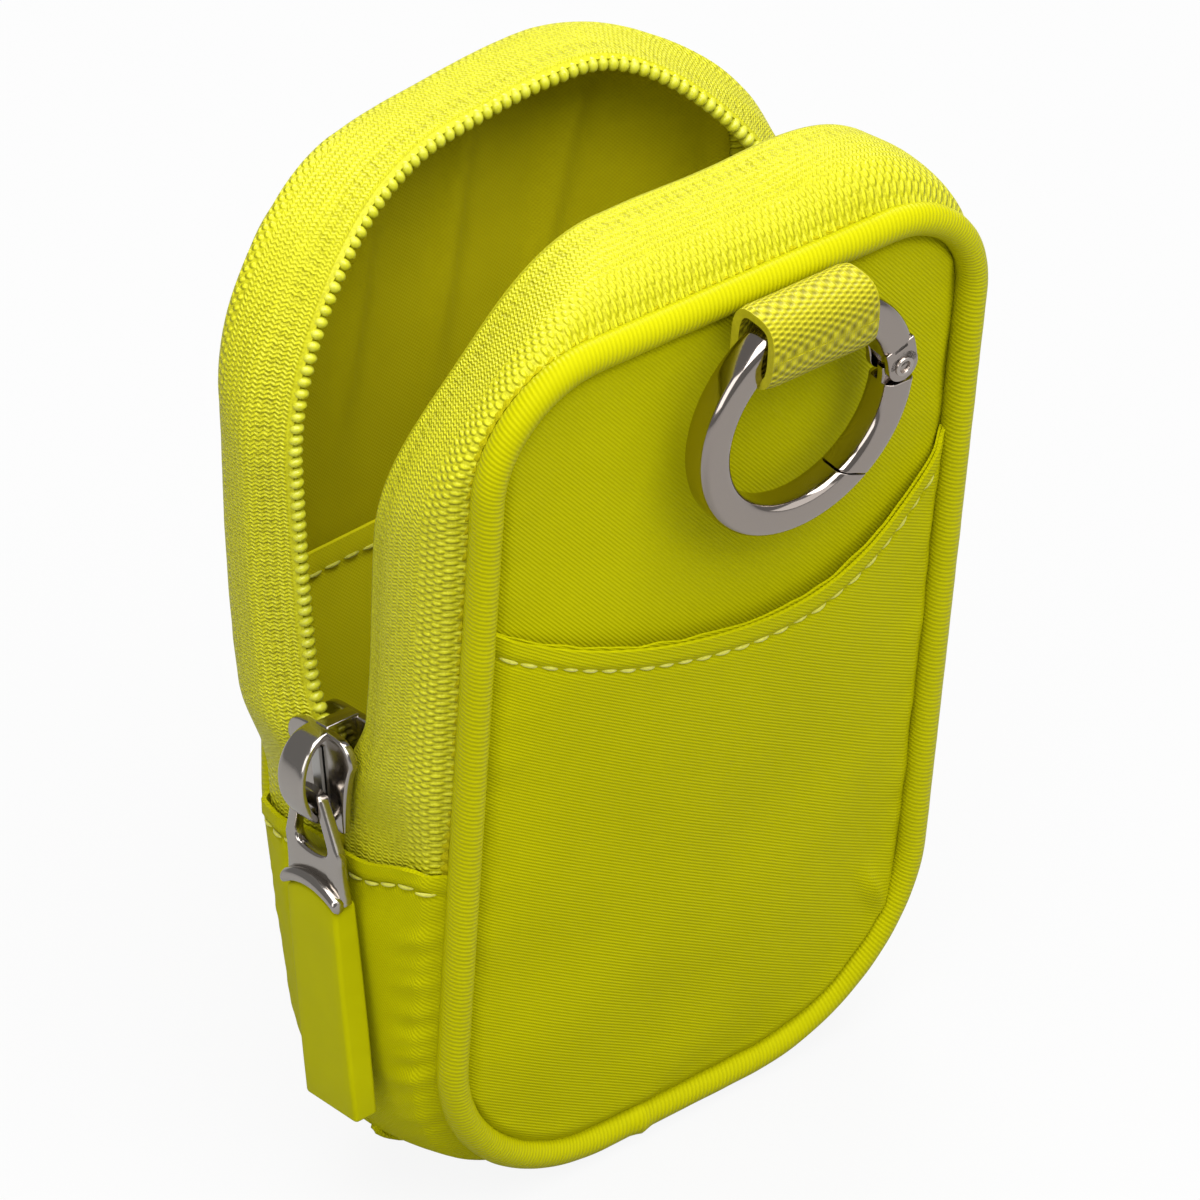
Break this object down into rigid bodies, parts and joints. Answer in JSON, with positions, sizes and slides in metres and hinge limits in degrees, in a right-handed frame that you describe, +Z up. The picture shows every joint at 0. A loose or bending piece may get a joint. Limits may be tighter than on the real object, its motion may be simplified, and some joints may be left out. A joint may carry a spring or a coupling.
{
  "type": "key pouch",
  "caption": "Small zipped fabric pouch with piped edges, an outside slip pocket and a webbing loop holding a hinged metal ring, for keys and cards.",
  "frame": {"origin": "middle of the flat underside it stands on", "axes": "+Z up, front with the slip pocket and ring faces -Y, zip slider on the -X side"},
  "size_m": [0.0855, 0.0655, 0.1286],
  "materials": {
    "nylon": "satin twill",
    "lining": "plain weave",
    "zip_tape": "knitted tape",
    "zip_teeth": "glossy coil",
    "webbing": "shiny webbing",
    "nickel": "polished",
    "steel": "plain",
    "silicone": "soft matte"
  },
  "bodies": {
    "back_half": {"back_panel": "nylon", "back_lining": "lining", "back_piping": "nylon", "back_seam_binding": "lining", "back_zip_tape": "zip_tape", "back_zip_teeth": "zip_teeth", "card_pocket": "lining", "lower_gusset": "nylon", "gusset_lining": "lining"},
    "front_half": {"front_panel": "nylon", "front_lining": "lining", "front_piping": "nylon", "front_seam_binding": "lining", "front_zip_tape": "zip_tape", "front_zip_teeth": "zip_teeth", "slip_pocket": "nylon", "slip_pocket_facing": "nylon"},
    "ring_loop": {"webbing_loop": "webbing"},
    "clip_ring": {"ring_body": "nickel", "gate_pin": "steel", "gate_spring": "steel"},
    "gate": {"ring_gate": "nickel"},
    "zip_slider": {"slider_body": "nickel", "slider_crown": "nickel", "slider_pawl": "steel"},
    "zip_pull": {"pull_link": "nickel", "pull_tab": "silicone"}
  },
  "joints": [
    {"name": "mouth", "type": "hinge", "parent": "back_half", "child": "front_half", "pos_m": [0, 0, 0.04053], "axis": [1, 0, 0], "range_deg": [-13, 0], "deforming": ["lower_gusset", "gusset_lining"]},
    {"name": "zip_slide", "type": "slide", "parent": "back_half", "child": "zip_slider", "axis": [0, 0.2301, 0.9732], "range_m": [0, 0.03107]},
    {"name": "pull_swing", "type": "hinge", "parent": "zip_slider", "child": "zip_pull", "pos_m": [-0.0428, 0.00053, 0.05972], "axis": [0, 0.9945, -0.1045], "range_deg": [0, 120]},
    {"name": "loop_flap", "type": "hinge", "parent": "front_half", "child": "ring_loop", "pos_m": [0.0048, -0.02642, 0.12445], "axis": [-1, 0, 0], "range_deg": [0, 120]},
    {"name": "ring_spin", "type": "hinge", "parent": "ring_loop", "child": "clip_ring", "pos_m": [0.0048, -0.02843, 0.10719], "axis": [0, 0.9957, 0.0924], "range_deg": [-30, 120]},
    {"name": "gate_swing", "type": "hinge", "parent": "clip_ring", "child": "gate", "pos_m": [0.01807, -0.0286, 0.10905], "axis": [0, 0.9957, 0.0924], "range_deg": [0, 35], "stiffness_Nm_per_rad": 0.02, "springref_deg": -20.05}
  ],
  "couplings": [
    {"joint": "zip_slide", "follows": "mouth", "m_per_rad": -0.1369}
  ]
}
